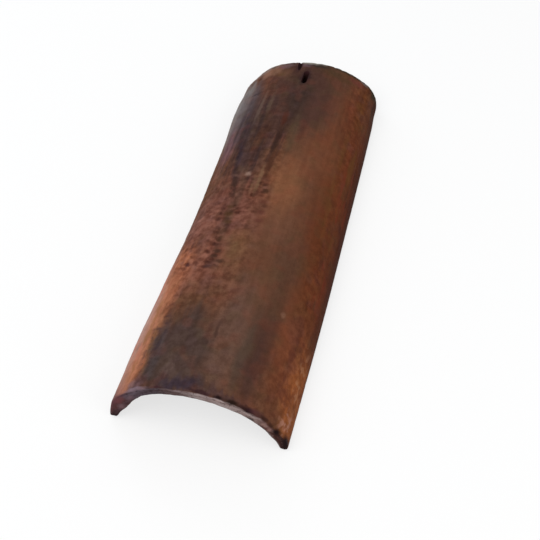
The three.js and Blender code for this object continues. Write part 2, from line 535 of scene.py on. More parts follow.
def gouge_cutter(middle):
    """Lens that digs the gouge: deepest and widest towards the head, tapering away."""
    centre = on_outer_face(GOUGE_ACROSS, LENGTH - GOUGE_TO_HEAD + GOUGE_TEAR / 2)
    lean = math.radians(-GOUGE_TURN)
    turn = np.linspace(0, 2 * math.pi, GOUGE_SIDES, endpoint=False)
    rings = []
    for share in np.linspace(0, 1, GOUGE_RINGS + 1):
        size = math.sin(math.pi * min(max(share, 0.02), 0.98)) ** 0.35 * lerp(0.8, 1, share)
        radius = (GOUGE_WIDTH + GOUGE_TEAR / 3) / 2 * size
        uneven = noise(1.5 * np.cos(turn) + 3, np.full(GOUGE_SIDES, share * 6), 61)
        radius = radius * (1 + 0.16 * uneven)
        x = radius * np.cos(turn)
        y = (GOUGE_LENGTH + GOUGE_TEAR) * (share - 0.5)
        z = radius * np.sin(turn) * GOUGE_DEPTH / (GOUGE_WIDTH / 2)
        ring = [x * math.cos(lean) - y * math.sin(lean), x * math.sin(lean) + y * math.cos(lean), z]
        rings.append(np.column_stack(ring) + centre)
    return tube_cutter("gouge_cutter", rings, middle)


def cut(body, cutter):
    """Takes the cutter out of the body, and drops the cutter."""
    modifier = body.modifiers.new("cut", "BOOLEAN")
    modifier.operation = "DIFFERENCE"
    modifier.solver = "EXACT"
    modifier.object = cutter
    graph = bpy.context.evaluated_depsgraph_get()
    result = bpy.data.meshes.new_from_object(body.evaluated_get(graph))
    body.modifiers.clear()
    old = body.data
    body.data = result
    bpy.data.meshes.remove(old)
    bpy.data.objects.remove(cutter)


def tile_body():
    """The dressed tile, cut and set in the frame."""
    plain, quads = shell()
    middle = bend(*plain)
    middle = (middle.min(axis=0) + middle.max(axis=0)) / 2
    bat = np.stack(plain, axis=-1)[:, [0, 2, 1]]
    body = mesh_object("tile_body", to_frame(bend(*worn(*plain)), middle), quads, bat)
    cut(body, slot_cutter(middle))
    cut(body, gouge_cutter(middle))
    body.data.name = "tile_body"
    body.data.shade_smooth()
    body.data.set_sharp_from_angle(angle=math.radians(SMOOTH_ANGLE))
    return body


# -------------------- materials


def srgb(code):
    """Linear colour from a hex code such as b06e52."""
    made = []
    for i in (0, 2, 4):
        value = int(code[i:i + 2], 16) / 255
        made.append(value / 12.92 if value <= 0.04045 else ((value + 0.055) / 1.055) ** 2.4)
    return (*made, 1)


class Nodes:
    """Short calls that add nodes to a material or a world.

    All but add and feed return a socket. A colour is a socket, four numbers or a hex code.
    """

    def __init__(self, owner):
        self.tree = owner.node_tree

    def feed(self, node, inputs):
        """Links a node's inputs to sockets, or sets them to values."""
        for key, value in inputs.items():
            if isinstance(value, bpy.types.NodeSocket):
                self.tree.links.new(value, node.inputs[key])
            else:
                node.inputs[key].default_value = srgb(value) if isinstance(value, str) else value

    def add(self, kind, inputs=None, **settings):
        made = self.tree.nodes.new(kind)
        for key, value in settings.items():
            setattr(made, key, value)
        self.feed(made, inputs or {})
        return made

    def math(self, operation, a, b=0.0, c=0.0):
        return self.add("ShaderNodeMath", {0: a, 1: b, 2: c}, operation=operation).outputs[0]

    def vector(self, operation, *inputs):
        return self.add("ShaderNodeVectorMath", dict(enumerate(inputs)),
                        operation=operation).outputs[0]

    def times(self, a, b):
        return self.math("MULTIPLY", a, b)

    def scaled(self, value, by, plus):
        """The value times by, plus plus."""
        return self.math("MULTIPLY_ADD", value, by, plus)

    def step(self, value, low, high, to_low=0, to_high=1):
        """Smooth step between two values."""
        return self.add("ShaderNodeMapRange", {
            0: value, 1: low, 2: high, 3: to_low, 4: to_high},
            interpolation_type="SMOOTHSTEP").outputs[0]

    def noise(self, vector, size, detail=2, roughness=0.5, output="Fac"):
        """Noise with features of size. Its value runs from about 0.2 to 0.8."""
        return self.add("ShaderNodeTexNoise", {
            "Vector": vector, "Scale": 1 / size, "Detail": detail,
            "Roughness": roughness}).outputs[output]

    def streaks(self, flat, across, along):
        """Noise with so many features to each millimetre across and along the tile."""
        scaled = self.add("ShaderNodeMapping", {"Vector": flat, "Scale": (across, along, 1)})
        return self.noise(scaled.outputs[0], 1)

    def flat(self, girth, along):
        """A flat place from its two coordinates."""
        return self.add("ShaderNodeCombineXYZ", {0: girth, 1: along}).outputs[0]

    def place(self, vector, at, size, turn=0):
        """A vector's place inside an ellipse: at its centre 0, on its edge of length 1."""
        return self.add("ShaderNodeMapping", {
            "Vector": vector, "Location": (*at, 0), "Rotation": (0, 0, math.radians(turn)),
            "Scale": (*size, 1e6)}, vector_type="TEXTURE").outputs[0]

    def mark(self, vector, at, size, soft, strength=1, turn=0):
        """Mask of an ellipse, as strong as strength, that fades over the share soft of its size."""
        inside = self.add("ShaderNodeTexGradient", {
            "Vector": self.place(vector, at, size, turn)}, gradient_type="SPHERICAL")
        return self.step(inside.outputs["Fac"], 0, soft, 0, strength)

    def mix(self, under, over, share, blend="MIX"):
        """One colour laid over another by share."""
        return self.add("ShaderNodeMix", {0: share, 6: under, 7: over},
                        data_type="RGBA", blend_type=blend).outputs[2]

    def ramp(self, value, stops):
        """Colour that runs through stops, each a value and a colour code."""
        low, high = stops[0][0], stops[-1][0]
        share = self.add("ShaderNodeMapRange", {0: value, 1: low, 2: high}).outputs[0]
        made = self.add("ShaderNodeValToRGB", {0: share})
        elements = made.color_ramp.elements
        for at, _ in stops[1:-1]:
            elements.new((at - low) / (high - low))
        for element, (_, code) in zip(elements, stops):
            element.color = srgb(code)
        return made.outputs[0]

    def bent(self, vector, place, size, amount, detail=2, roughness=0.5):
        """A vector moved by noise with features of size, at most half of amount each way."""
        colour = self.noise(place, size, detail, roughness, "Color")
        centred = self.vector("SUBTRACT", colour, (0.5, 0.5, 0.5))
        return self.vector("MULTIPLY_ADD", centred, (amount, amount, 0), vector)


def new_material(name):
    material = bpy.data.materials.new(name)
    material.use_nodes = True
    return material, Nodes(material)


def bat_place(n):
    """Girth and along as a flat place, each of the three alone, and the place in the frame."""
    bat = n.add("ShaderNodeAttribute", attribute_name="bat").outputs["Vector"]
    girth, along, depth = n.add("ShaderNodeSeparateXYZ", {0: bat}).outputs
    place = n.vector("MULTIPLY", n.add("ShaderNodeTexCoord").outputs["Object"], (1 / MM,) * 3)
    return n.flat(girth, along), girth, along, depth, place


# Where the kiln and the weather marked the outer face: colour, centre as girth and along,
# half sizes, how softly it fades, strength, and turn if any.
FIRE_MARKS = (
    # right flank: red-brown, darker towards its foot with painted shade, and orange towards the
    # wide end
    ("64341c", (84, 240), (52, 290), 0.7, 0.95),
    # painted shade towards the right foot
    ("4c2010", (108, 250), (26, 230), 0.8, 0.6),
    ("6d402a", (44, 318), (30, 56), 0.8, 0.8),
    ("6f3925", (62, 400), (20, 46), 0.8, 0.7),
    ("66391b", (76, 410), (15, 44), 0.9, 0.8),
    ("74412a", (74, 70), (30, 70), 0.8, 0.9),
    ("9c5a32", (102, 42), (30, 78), 0.7, 1),
    # crown: olive brown, a dark band beside it, and a warm patch
    ("5e4439", (14, 60), (24, 110), 0.7, 0.9),
    ("4c4036", (32, 55), (9, 70), 0.8, 0.7),
    ("422c26", (43, 58), (19, 104), 1, 0.9),
    ("54392b", (44, 165), (22, 70), 0.8, 0.75),
    ("704c3a", (22, 208), (18, 40), 1, 0.5),
    ("744a34", (38, 302), (14, 40), 1, 0.5),
    ("805238", (16, 262), (28, 66), 0.9, 0.85),
    # dark head
    ("4a3028", (-2, 396), (58, 96), 0.55, 1),
    ("3a2a24", (1, 390), (20, 62), 0.9, 0.95),
    ("4a3022", (38, 430), (26, 26), 0.9, 0.4),
    ("5f3a2c", (-44, 428), (18, 22), 0.8, 0.8),
    # rough left middle
    ("74483c", (-38, 200), (58, 105), 0.6, 0.9),
    ("ae6b4b", (-64, 152), (25, 42), 0.8, 1),
    ("8f6054", (-68, 214), (20, 34), 0.8, 0.75),
    ("8c5c4e", (-48, 216), (15, 30), 0.9, 0.6),
    ("6e4d34", (-8, 170), (20, 44), 1, 0.85),
    ("8a5846", (-37, 165), (13, 75), 0.8, 0.5),
    ("70493a", (-4, 118), (18, 30), 0.9, 0.6),
    ("80564c", (-72, 300), (16, 34), 0.9, 0.6),
    # sooty streaks that run down the left shoulder
    ("46322e", (-30, 330), (26, 84), 0.6, 0.95, 3),
    ("4c382c", (-26, 235), (8, 80), 0.8, 0.6, 1),
    # slate shoulder with a silvery edge, a blue-black streak beside it, and a pinkish one below;
    # the silvery edge is a painted sheen, and the shoulder's grey-lilac and the pinkish streak
    # are partly a painted sheen
    ("50464a", (-58, 392), (17, 66), 0.9, 0.85),
    ("625658", (-74, 378), (25, 92), 0.9, 0.95, 4),
    ("726a6a", (-74, 408), (15, 50), 0.9, 0.8),
    # the silvery edge along the left contour: a painted sheen
    ("807b7a", (-94, 402), (21, 84), 0.9, 0.95),
    ("7e7876", (-73, 427), (13, 22), 0.9, 0.6),
    ("745058", (-70, 328), (15, 44), 0.9, 0.75, 8),
    ("4c4046", (-60, 346), (9, 50), 0.9, 0.85, 7),
    ("362a2f", (-50, 354), (10.5, 58), 1, 0.95, 7),
    ("30232a", (-45, 306), (9, 58), 0.9, 0.95, 12),
    ("352527", (-36, 268), (7, 30), 0.9, 0.6, 10),
    ("482a1c", (-24, 330), (16, 60), 0.9, 0.75, 2),
    # pale side, from the left foot up to the middle; its palest strip by the left contour is partly
    # dust and partly a painted sheen
    ("9c6046", (-57, 134), (19, 56), 0.8, 0.9),
    ("b37354", (-80, 62), (34, 140), 0.5, 1),
    # partly dust, partly a painted sheen
    ("ccaaa0", (-102, 90), (36, 190), 0.9, 0.95),
    ("b8968c", (-104, 34), (30, 60), 0.9, 0.7),
    ("b4928c", (-88, 72), (34, 135), 0.9, 0.4),
    ("9c7068", (-84, 5), (32, 17), 0.9, 0.7),
    # charcoal by the wide end, olive and slate at its left edge, purple along the rim
    ("483630", (-22, 40), (34, 70), 0.45, 1),
    ("6b5138", (-54, 54), (6, 54), 0.9, 0.6, 8),
    ("443a3a", (-45, 42), (11, 62), 0.8, 0.85, 4),
    ("47383c", (-52, 8), (13, 19), 0.7, 0.8),
    ("5e4a44", (-24, 24), (9, 22), 0.9, 0.6),
    ("392c34", (-8, 9), (30, 15), 0.8, 1),
    ("4b3636", (24, 4), (34, 7), 0.8, 0.7),
)

# The clay's colour under them.
BROWN = "633f2d"

# Single drags, knocks and scrapes: colour, centre, half sizes, strength, and if any the turn
# and how far gaps break it up.
STROKES = (
    # the long dark drag left of the crown, and the knock that ends it
    ("4a2418", (-6.5, 356), (4.5, 20), 0.75),
    ("2c1913", (-6, 322), (4.8, 36), 0.85, -1),
    ("44261a", (-4, 287), (4.3, 34), 0.85, -3, 0.2),
    ("3a2216", (1.5, 249), (5.5, 5), 0.85),
    ("46291f", (2, 226), (4.5, 22), 0.4, 0, 0.5),
    ("5a3024", (3, 234.5), (5.5, 4.5), 0.7),
    ("5c3228", (4, 219.5), (6, 4), 0.7),
    ("5c3228", (4.5, 208.5), (6, 3.6), 0.6),
    # the column of broken dark spots on the rough flank
    ("3a241c", (-34, 254), (5.5, 30), 0.85, 8, 0.6),
    ("6e4e44", (-37, 273), (8, 2.8), 0.5, -20),
    ("3c1e18", (-31, 251), (6.5, 4.5), 0.6, -15),
    ("4a3322", (-29, 214), (5.5, 26), 0.3, 4, 0.5),
    ("4a3322", (-25, 178), (5, 24), 0.35, 0, 0.7),
    ("442a14", (-29, 227), (7.5, 4), 0.65, -20),
    ("442a14", (-27, 216), (7.5, 4), 0.75, -20),
    ("442a14", (-24.5, 205), (7.5, 4), 0.75, -20),
    ("4a3024", (-26, 191.5), (6, 4.5), 0.55, -20),
    ("38241a", (-23, 165), (6.5, 4), 0.75, -25),
    ("38241a", (-24.5, 158.5), (6.5, 3.6), 0.7, -20),
    ("38241a", (-17, 152.5), (8, 3.8), 0.7, -8),
    ("3c2626", (-27, 146), (6.5, 4), 0.7, -10),
    ("43292f", (-49, 151), (7, 4.5), 0.6, -28, 0.2),
    ("3a241e", (4, 71), (2.4, 14), 0.6),
    # between the terracotta side and the charcoal, and above the slate shoulder's streak
    ("54382e", (-47, 90), (8, 18), 0.4, 0, 0.3),
    ("6a4030", (-48, 167), (8, 13), 0.4, 0, 0.3),
    ("ac6a4e", (-60, 138), (8, 15), 0.45, 0, 0.3),
    ("3a2c2d", (-46, 380), (8, 28), 0.4, 4, 0.3),
    # the head's left corner
    ("2b2023", (-55, 407), (13, 2.4), 0.6, 4),
    ("6e4234", (-43, 426), (6, 7), 0.5),
    ("966e5c", (-50, 438), (11, 9), 0.7, 0, 0.2),
    ("88644f", (-37, 440), (12, 12), 0.6, 0, 0.2),
    ("6e4c38", (-23, 432), (9, 12), 0.45),
    ("5e4428", (-30, 431), (9, 6), 0.5, 0, 0.3),
    ("6c2c2c", (-30, 443), (9, 4), 0.6, 0, 0.3),
    # the head's right corner, darkened along the right edge with painted shade
    ("2e2418", (105, 431), (6, 22), 0.7),
    # pale scrapes
    ("6d584d", (-40.5, 378), (3.8, 36), 0.5, -3),
    ("655040", (-29, 382), (4.2, 24), 0.45),
    ("54432f", (7, 335), (8, 46), 0.5, 0, 0.2),
    ("86674c", (-9.5, 264), (3.2, 30), 0.45, 0, 0.2),
    ("7c5c44", (-14, 258), (2.8, 24), 0.4, 0, 0.3),
    ("9c7e70", (-23, 273), (4.5, 5), 0.6),
    ("8e6652", (54, 110), (4, 4.5), 0.4),
    # soot round the slot, with painted shade that widens its dark mouth
    ("26161a", (0, 425), (8.5, 18), 0.85),
)

# The same along the wide end's rim. The centre's second number is the way from the outer arris
# up the outer face, or below 0 down the cut.
RIM_STROKES = (
    ("7c5650", (-98, 5), (32, 13), 0.8, 0, 0.2),
    ("66404a", (-88, -1), (32, 6), 0.7, 0, 0.2),
    ("623c3a", (-98, -4), (12, 5), 0.7, 0, 0.3),
    ("824a4a", (-82, -4), (14, 5), 0.65, 0, 0.2),
    # a painted highlight on the left foot's cut
    ("947276", (-93, -9), (11, 4.5), 0.6, 0, 0.3),
    ("6e3f3c", (-100, 7), (10, 5), 0.6, 0, 0.3),
    # a painted highlight on the left foot's cut
    ("8e6e76", (-67, -8), (9, 3.4), 0.6, 0, 0.3),
    ("95706e", (-58, 8), (7, 7), 0.6, 0, 0.2),
    ("785a5e", (-50, 6), (6, 5), 0.5, 0, 0.2),
    # a painted highlight along the arris
    ("8c7680", (-51, 0.6), (20, 4.2), 0.75, 0, 0.2),
    ("42222a", (-30, 1), (12, 2.4), 0.6, 0, 0.6),
    # a painted highlight
    ("a48e90", (-10, -3), (9, 2.2), 0.7, 0, 0.2),
    ("321b1e", (9, 2), (17, 3.8), 0.9, -4, 0.1),
    ("1e1010", (24, 1.6), (6, 4.6), 1, -10),
    ("24150f", (36, 1.2), (11, 5.6), 1, -5, 0.1),
    ("221012", (50, 1), (11.5, 5.8), 1, -4, 0.1),
    ("4a2a2e", (60, 3), (14, 6), 0.7, 0, 0.3),
    ("2a2022", (60, -9), (6, 3.4), 0.8, 0, 0.2),
    ("38201a", (68, 1.5), (7, 5), 0.95, 0, 0.1),
    ("3a2018", (77, 1), (6, 4.5), 0.85, 0, 0.3),
    ("bc958c", (74, -5), (7, 4), 0.8, 0, 0.2),
    ("b08880", (83, -5), (6, 4.4), 0.8, 0, 0.2),
    ("1c0e0f", (88.5, -1.5), (8, 8), 1),
    ("b4785f", (94, 8), (5, 5), 0.6, 0, 0.2),
    ("1c0e10", (107, 0.5), (16, 9), 1),
)

# The same along the head's rim: a pale painted sheen at its left corner, mauve left of the gouge,
# the gouge darkened partly with painted shade, a painted silver highlight right of it over a dark
# line, then dark, and a small painted glint. The centre's second number is the way along the outer
# face, and beyond LENGTH goes on down the cut.
HEAD_RIM_STROKES = (
    # a pale painted sheen at the head's left corner
    ("9a857c", (-54, 446.5), (30, 6), 0.6, 0, 0.2),
    ("34342a", (-42, 446), (5, 3), 0.6),
    ("6a5658", (-26, 444), (15, 6), 0.6),
    ("6a5560", (-2, 444), (11, 4.5), 0.45),
    # the gouge, darkened partly with painted shade
    ("2c1a20", (-10, 442), (5, 12), 0.7, -4),
    ("2e2622", (12, 444.5), (19, 4.2), 0.8),
    # a painted silver highlight on the rim
    ("979288", (4, 449), (21, 4.8), 0.8),
    ("40341f", (34, 439), (36, 11), 0.45, 0, 0.3),
    ("2e2618", (52, 449), (36, 5.2), 0.75),
    ("6e3230", (60, 441), (18, 6), 0.45, 0, 0.3),
    ("2c281c", (92, 447), (20, 8.5), 0.8, -14),
    ("2a261a", (90, 444), (11, 8), 0.65, -14),
    # a painted glint
    ("7c7070", (70, 446.5), (9, 2), 0.5, -4),
)

# Ladders of dabs that the smoothing stick left: centre as girth and along, half sizes, turn of
# the rungs, spacing across and along, strength, and what share of the dabs are hollows.
LADDERS = (
    ((-11, 236), (25, 48), -3, (7.5, 6), 0.8, 0.55),
    ((-30, 214), (13, 62), -20, (11, 6.4), 0.75, 0.6),
    ((-58, 214), (34, 74), -30, (20, 6), 0.5, 0.45),
    ((-42, 160), (42, 30), -28, (12, 5.4), 0.95, 0.55),
)

# Where small spots of another colour are sprinkled: colour, centre, half sizes, spacing across
# and along, and strength.
FLECKS = (
    ("c08a66", (100, 62), (16, 52), (7, 10), 0.4),
    ("b98470", (98, 12), (20, 24), (7, 8), 0.7),
    ("7e3020", (90, 260), (20, 190), (14, 60), 0.45),
    ("62441e", (80, 300), (24, 170), (12, 50), 0.35),
    ("3a1a14", (100, 250), (16, 200), (12, 30), 0.55),
    ("4a2420", (84, 60), (26, 70), (9, 24), 0.4),
    ("3a2a30", (-52, 60), (16, 56), (7, 7), 0.6),
    ("c07058", (-78, 90), (20, 120), (10, 30), 0.5),
    ("8a5e34", (-66, 70), (11, 100), (8, 16), 0.5),
    ("bc9080", (-92, 44), (18, 90), (8, 14), 0.4),
)


def flecks(n, colour, flat):
    """Sprinkles small ragged spots over the places of FLECKS."""
    for code, at, size, (across, along), strength in FLECKS:
        spots = n.step(n.streaks(flat, 1 / across, 1 / along), 0.5, 0.64, 0, strength)
        colour = n.mix(colour, code, n.times(n.mark(flat, at, size, 0.7), spots))
    return colour


def fired_colour(n, flat, place):
    """The outer face's large colours: marks with ragged, streaky edges."""
    run = n.flat(0, n.scaled(n.streaks(flat, 0.13, 0.011), 36, -18))
    ragged = n.bent(n.vector("ADD", flat, run), place, 26, 12)
    ragged = n.bent(ragged, place, 8, 4)
    colour = BROWN
    for code, *ellipse in FIRE_MARKS:
        colour = n.mix(colour, code, n.mark(ragged, *ellipse))
    return colour


# Where the outer face is calmer than elsewhere: centre as girth and along, half sizes, how
# softly it fades, and how much calmer.
CALM = (
    ((38, 230), (46, 320), 0.5, 0.75),
    ((-88, 40), (42, 170), 0.5, 0.75),
    ((-70, 375), (42, 110), 0.6, 0.6),
    ((-20, 45), (44, 84), 0.5, 0.4),
    ((84, 60), (34, 90), 0.5, 0.3),
    ((98, 270), (30, 200), 0.5, 0.6),
    ((-12, 170), (16, 34), 0.6, 0.4),
    ((10, 400), (70, 70), 0.6, 0.4),
)

# Drifts of colour over the outer face.
OLIVE = "4e4028"
RED = "7c3a28"
PURPLE = "46323a"

# What a blotch multiplies the colour by: its darks are warm and its lights cool.
BLOTCH_DARK = (0.68, 0.60, 0.55, 1)
BLOTCH_LIGHT = (1.27, 1.31, 1.31, 1)

# What a wiped streak multiplies the colour by.
WIPE_DARK = (0.90, 0.885, 0.88, 1)
WIPE_LIGHT = (1.07, 1.075, 1.08, 1)


def wildness(n, flat):
    """How strongly the outer face is mottled, from 1 down to about 0.2 in calm places."""
    wild = 1
    for at, size, soft, strength in CALM:
        calm = n.mark(flat, at, size, soft)
        wild = n.times(n.scaled(calm, -strength, 1), wild)
    return wild


def mottled(n, colour, wild, place):
    """Olive, red and purple drifts, with darker and lighter blotches."""
    drift = n.noise(place, 18, 1, output="Color")
    olive, red, purple = n.add("ShaderNodeSeparateColor", {0: drift}).outputs
    colour = n.mix(colour, OLIVE, n.step(olive, 0.5, 0.66, 0, 0.16))
    colour = n.mix(colour, RED, n.step(red, 0.5, 0.66, 0, 0.12))
    colour = n.mix(colour, PURPLE, n.times(n.step(purple, 0.52, 0.68, 0, 0.2), wild))
    blotch = n.step(n.noise(place, 7, 3, 0.6), 0.3, 0.7)
    return n.mix(colour, n.mix(BLOTCH_DARK, BLOTCH_LIGHT, blotch), wild, "MULTIPLY")


def wiped(n, colour, flat, wild):
    """Faint lengthways streaks, as the wet clay was wiped."""
    streak = n.step(n.streaks(flat, 0.15, 0.012), 0.34, 0.66)
    shade = n.mix(WIPE_DARK, WIPE_LIGHT, streak)
    return n.mix(colour, shade, n.scaled(wild, 0.4, 0.6), "MULTIPLY")


def dabs(n, wavy, spacing, turn):
    """Soft dabs, one in each cell of a loose grid: how strong one is here, and its own number."""
    cells = n.add("ShaderNodeTexVoronoi", {
        "Vector": n.place(wavy, (0, 0), spacing, turn), "Scale": 1, "Randomness": 0.34},
        voronoi_dimensions="2D").outputs
    number = n.add("ShaderNodeSeparateColor", {0: cells["Color"]}).outputs[0]
    return n.step(cells["Distance"], 0.62, 0.12), number


# What the stick's hollows multiply the colour by, as painted shade, and the colour of its ridges,
# partly a painted highlight.
HOLLOW_SHADE = (0.42, 0.33, 0.31, 1)
RIDGE = "9c6c5e"


def chatter(n, colour, flat, place):
    """The stick's hollows and ridges: the colour with painted shade in them and some painted
    highlight, and their height.
    """
    patchy = n.step(n.noise(place, 24), 0.36, 0.56, 0.45, 1)
    wavy = n.bent(flat, place, 16, 4, 1)
    wavy = n.bent(wavy, place, 3, 2, 2, 0.6)
    height = 0.0
    for at, size, turn, spacing, strength, hollows in LADDERS:
        dab, number = dabs(n, wavy, spacing, turn)
        dab = n.times(dab, n.times(n.mark(flat, at, size, 0.5, strength), patchy))
        hollow = n.times(dab, n.step(number, hollows + 0.08, hollows - 0.08))
        ridge = n.times(dab, n.step(number, hollows + 0.1, hollows + 0.27))
        colour = n.mix(colour, HOLLOW_SHADE, hollow, "MULTIPLY")
        colour = n.mix(colour, RIDGE, n.times(ridge, 0.35))
        height = n.math("ADD", height, n.math("SUBTRACT", ridge, hollow))
    return colour, height


# The wide end's cut from the left foot to the right one, as girth and colour.
WIDE_CUT = (
    (-119, "2a1b1d"),
    (-98, "543a3d"),
    (-78, "64494e"),
    (-58, "6a5a64"),
    (-34, "52444a"),
    (-12, "6c5654"),
    (6, "b3a09e"),
    (58, "b8a19d"),
    (74, "6f4a44"),
    (96, "573630"),
    (119, "241514"),
)

# What the clay's layers multiply that by, the soot and dust on it, and its edge by the inner face.
LAYER_DARK = (0.74, 0.67, 0.65, 1)
LAYER_LIGHT = (1.12, 1.14, 1.14, 1)
WIDE_SOOT = "2b1a1b"
WIDE_DUST = "b49c98"
DUSTY_EDGE = "cbb9b5"


def wide_end_colour(n, girth, depth, place):
    """The wide end's cut: dusty and pale right of the crown, sooty towards both feet."""
    swayed = n.scaled(n.noise(place, 9, 3, 0.6), 24, n.math("SUBTRACT", girth, 12))
    colour = n.ramp(swayed, WIDE_CUT)
    layer = n.noise(n.flat(n.times(girth, 1 / 24), n.times(depth, 1 / 2.6)), 1)
    layers = n.mix(LAYER_DARK, LAYER_LIGHT, n.step(layer, 0.36, 0.62))
    colour = n.mix(colour, layers, 1, "MULTIPLY")
    fine = n.noise(place, 3.2, 3, 0.65)
    colour = n.mix(colour, WIDE_SOOT, n.step(fine, 0.52, 0.68, 0, 0.6))
    dusty = n.times(n.step(fine, 0.44, 0.3, 0, 0.5), n.step(girth, -30, 0, 0.1, 1))
    colour = n.mix(colour, WIDE_DUST, dusty)
    edge = n.times(n.step(depth, 8, 13, 0, 0.7), n.step(girth, -5, 10))
    return n.mix(colour, DUSTY_EDGE, edge)


HEAD_GREY = "6c6056"
HEAD_OLIVE = "524439"
HEAD_BROWN = "38261f"


def head_colour(n, girth, place):
    """The head's cut: weathered olive grey by the gouge, dark brown towards the feet."""
    fine = n.noise(place, 3, 3, 0.65)
    colour = n.mix(HEAD_GREY, HEAD_OLIVE, n.step(fine, 0.42, 0.62))
    swayed = n.scaled(fine, 30, girth)
    sides = n.math("MAXIMUM", n.step(swayed, 30, 60), n.step(swayed, -10, -40))
    return n.mix(colour, HEAD_BROWN, n.times(sides, 0.85))


INNER_CLAY = "84543f"
INNER_CLAY_DARK = "6a4234"
INNER_SAND = "9c7058"
INNER_PITS = "3f2822"
INNER_SOOT = "3a2723"


def inner_colour(n, along, place):
    """The inner face: paler, sanded clay, sooty near its ends."""
    sanded = n.noise(place, 3.5, 4, 0.7)
    drift = n.noise(place, 28, 3, 0.55)
    colour = n.mix(INNER_CLAY, INNER_CLAY_DARK, n.step(drift, 0.4, 0.6))
    colour = n.mix(colour, INNER_SAND, n.step(sanded, 0.5, 0.36, 0, 0.5))
    colour = n.mix(colour, INNER_PITS, n.step(sanded, 0.52, 0.68, 0, 0.6))
    sooty = n.math("MAXIMUM", n.step(along, 30, 4, 0, 0.7), n.step(along, 400, 446, 0, 0.6))
    return n.mix(colour, INNER_SOOT, sooty)


def stroke(n, wavy, gaps, at, size, strength, turn=0, gappy=0):
    """Mask of one stroke."""
    share = n.mark(wavy, at, size, 0.8, strength, turn)
    return n.times(share, n.scaled(gaps, -gappy, 1)) if gappy else share


def stroked(n, colour, flat, place, strokes):
    """Draws strokes, ragged at their edges and some of them broken up."""
    wavy = n.bent(flat, place, 5, 4)
    gaps = n.step(n.noise(place, 6, 1), 0.52, 0.42)
    for code, *ellipse in strokes:
        colour = n.mix(colour, code, stroke(n, wavy, gaps, *ellipse))
    return colour


# Where the clay was dragged: centre as girth and along, half sizes.
DRAGGED = ((-34, 330), (60, 96))


def drags(n, flat):
    """Long soft drags down the dark left shoulder: how deep each is."""
    drag = n.step(n.streaks(flat, 0.2, 0.012), 0.46, 0.64)
    return n.times(n.mark(flat, *DRAGGED, 0.6), drag)


# Painted shade that darkens the right flank's foot, and what darkens the head's rim.
FOOT_SHADE = "38190f"
HEAD_RIM_DARK = "33281c"


def edges(n, colour, girth, along, place):
    """Darkens the right flank's foot with painted shade, less by the wide end, and the head's rim.
    """
    ragged = n.noise(place, 14, 3, 0.6)
    low = n.step(n.scaled(ragged, 20, girth), 98, 126)
    low = n.times(low, n.step(along, 90, 190, 0.35, 1))
    colour = n.mix(colour, FOOT_SHADE, n.times(low, 0.8))
    # darker along the head's rim, right of the crown most
    rim = n.step(n.scaled(ragged, 5, along), 446, 450.5)
    rim = n.times(rim, n.step(girth, -10, 20, 0.3, 1))
    return n.mix(colour, HEAD_RIM_DARK, n.times(rim, 0.5))


CUT_MAROON = "381e20"
CUT_BLACK = "1c0a08"


def cut_colour(n, place):
    """The walls of the slot and the gouge: maroon at their mouths, black further in: soot and
    painted shade.
    """
    up = n.add("ShaderNodeSeparateXYZ", {0: place}).outputs[2]
    return n.mix(CUT_BLACK, CUT_MAROON, n.step(up, HEAD_RISE - 6, HEAD_RISE + 1))


# What darkens the drags and the grain's hollows.
DRAG_SHADE = "2b1e20"
GRAIN_SHADE = "1c120f"


def outer_colour(n, where, wild, dragged):
    """The outer face: its colour, and the height of the smoothing stick's marks on it."""
    flat, girth, along, _, place = where
    colour = fired_colour(n, flat, place)
    colour = mottled(n, colour, wild, place)
    colour = wiped(n, colour, flat, wild)
    colour = flecks(n, colour, flat)
    colour, dabbed = chatter(n, colour, flat, place)
    colour = n.mix(colour, DRAG_SHADE, n.times(dragged, 0.45))
    colour = stroked(n, colour, flat, place, STROKES)
    return edges(n, colour, girth, along, place), dabbed


def other_colours(n, colour, where):
    """Adds both ends with their rims, the inner face, and the walls of the slot and the gouge."""
    _, girth, along, depth, place = where
    ends = n.mix(wide_end_colour(n, girth, depth, place), head_colour(n, girth, place),
                 n.step(along, LENGTH / 3, LENGTH * 2 / 3))
    colour = n.mix(colour, ends, n.step(depth, 0.4, 1.4))
    over_rim = n.flat(girth, n.math("SUBTRACT", along, depth))
    colour = stroked(n, colour, over_rim, place, RIM_STROKES)
    over_head = n.flat(girth, n.math("ADD", along, depth))
    colour = stroked(n, colour, over_head, place, HEAD_RIM_STROKES)
    colour = n.mix(colour, inner_colour(n, along, place), n.step(depth, WALL - 2, WALL - 0.5))
    return n.mix(colour, cut_colour(n, place), n.step(depth, WALL + 2, HOLLOW - 2))


def fine_relief(n, place, grain, wild, dabbed, dragged):
    """The normal of relief that is too fine for the mesh."""
    height = n.scaled(n.noise(place, 3.2, 3, 0.6), 0.4, n.times(grain, 0.25))
    height = n.times(height, n.step(wild, 0, 1, 0.25, 1))
    height = n.scaled(dabbed, 0.45, height)
    height = n.scaled(dragged, -0.3, height)
    return n.add("ShaderNodeBump", {"Height": height, "Strength": 1, "Distance": MM}).outputs[0]


# How strongly the matt clay mirrors, as the shader's specular level, and the smoother shoulder:
# centre as girth and along, half sizes.
SHEEN = 0.08
SMOOTH_SHOULDER = ((-90, 385), (34, 100))


